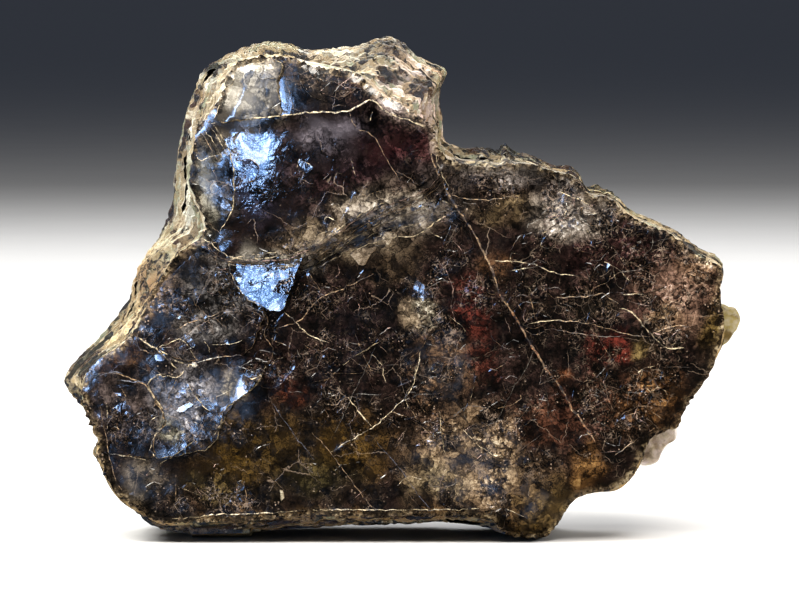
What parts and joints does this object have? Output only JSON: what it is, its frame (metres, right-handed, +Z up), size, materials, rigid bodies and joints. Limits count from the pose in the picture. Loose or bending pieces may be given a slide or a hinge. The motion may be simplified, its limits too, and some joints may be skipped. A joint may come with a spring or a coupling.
{
  "type": "phlogopite specimen",
  "caption": "Dark mica book with a raised lobe, a long fissure and frayed sheet edges, standing upright on its lower edge.",
  "frame": {"origin": "middle of the bounding box's base, in the plane that the lower edge's feet stand on", "axes": "+Z up, +X along the specimen's width to the viewer's right, +Y away from the wide cleavage face, across the sheets"},
  "size_m": [0.0896, 0.0242, 0.0665],
  "materials": {
    "mica": "near-black brown mica with glossy cleavage faces, pearly cream sheet edges and cream cracks"
  },
  "bodies": {
    "root": {"mica_book": "mica"}
  },
  "joints": []
}
